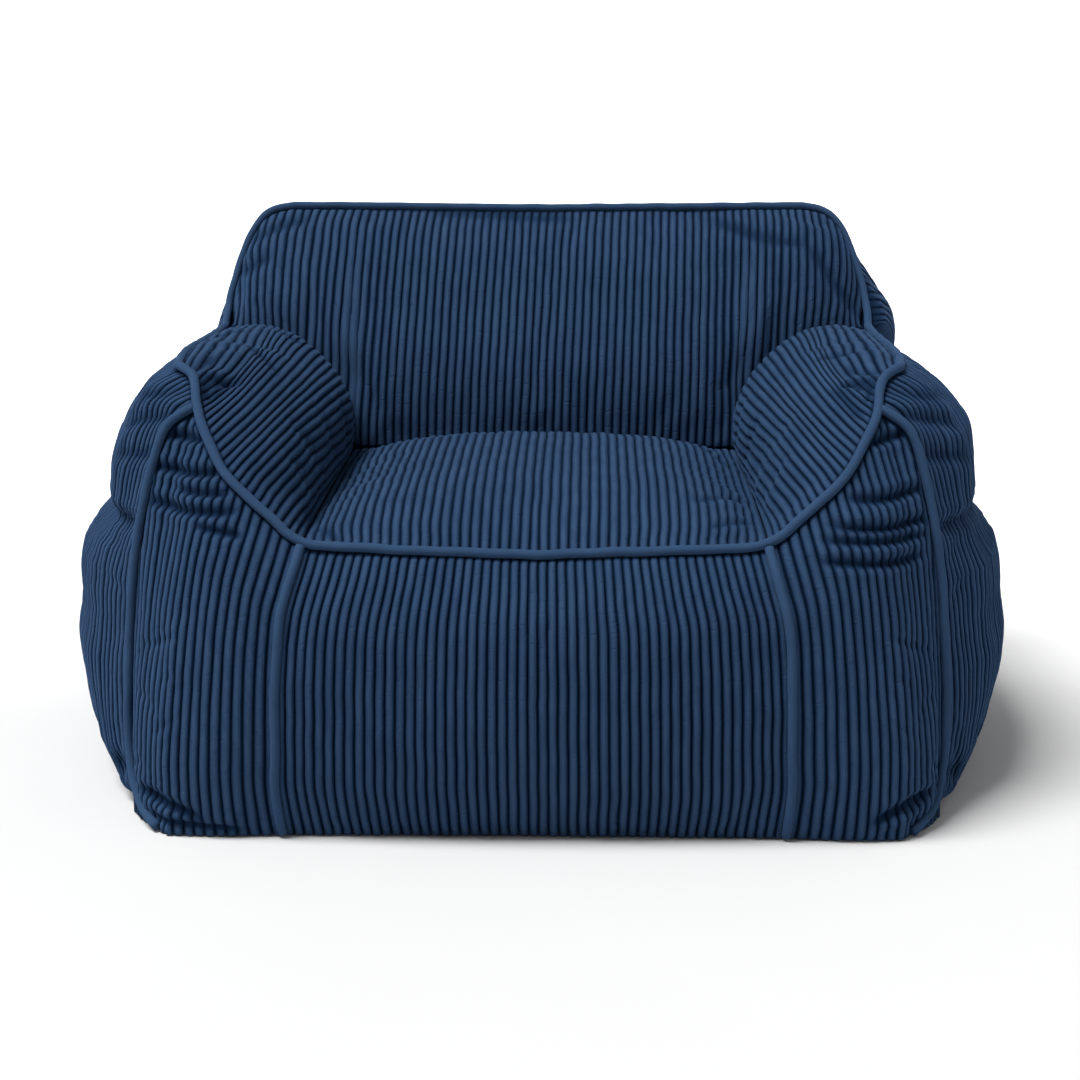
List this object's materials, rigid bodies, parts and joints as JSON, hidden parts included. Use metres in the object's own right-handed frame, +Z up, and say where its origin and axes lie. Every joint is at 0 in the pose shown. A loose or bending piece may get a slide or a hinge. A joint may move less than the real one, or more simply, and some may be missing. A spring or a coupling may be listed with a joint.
{
  "type": "pouf armchair",
  "caption": "Low filled armchair without legs, in wide-rib corduroy, with a crowned seat, rolled arms, a backrest and piped seams.",
  "frame": {"origin": "on the floor, under the middle of the chair's bounding box", "axes": "+X across the seat, to the right as seen from the front; +Y towards the backrest; +Z up"},
  "size_m": [1.0992, 0.916, 0.6066],
  "materials": {
    "corduroy": "navy wide-rib corduroy, matt with a soft sheen on the ribs",
    "piping": "navy smooth velvet piping"
  },
  "bodies": {
    "root": {"base_panel": "corduroy", "seat_panel": "corduroy", "front_panel": "corduroy", "front_corner_left": "corduroy", "front_corner_right": "corduroy", "inner_arm_left": "corduroy", "inner_arm_right": "corduroy", "side_left": "corduroy", "side_right": "corduroy", "back_inside": "corduroy", "back_outside": "corduroy", "piping_main": "piping", "piping_front_left": "piping", "piping_front_right": "piping", "piping_corner_left": "piping", "piping_corner_right": "piping"}
  },
  "joints": []
}
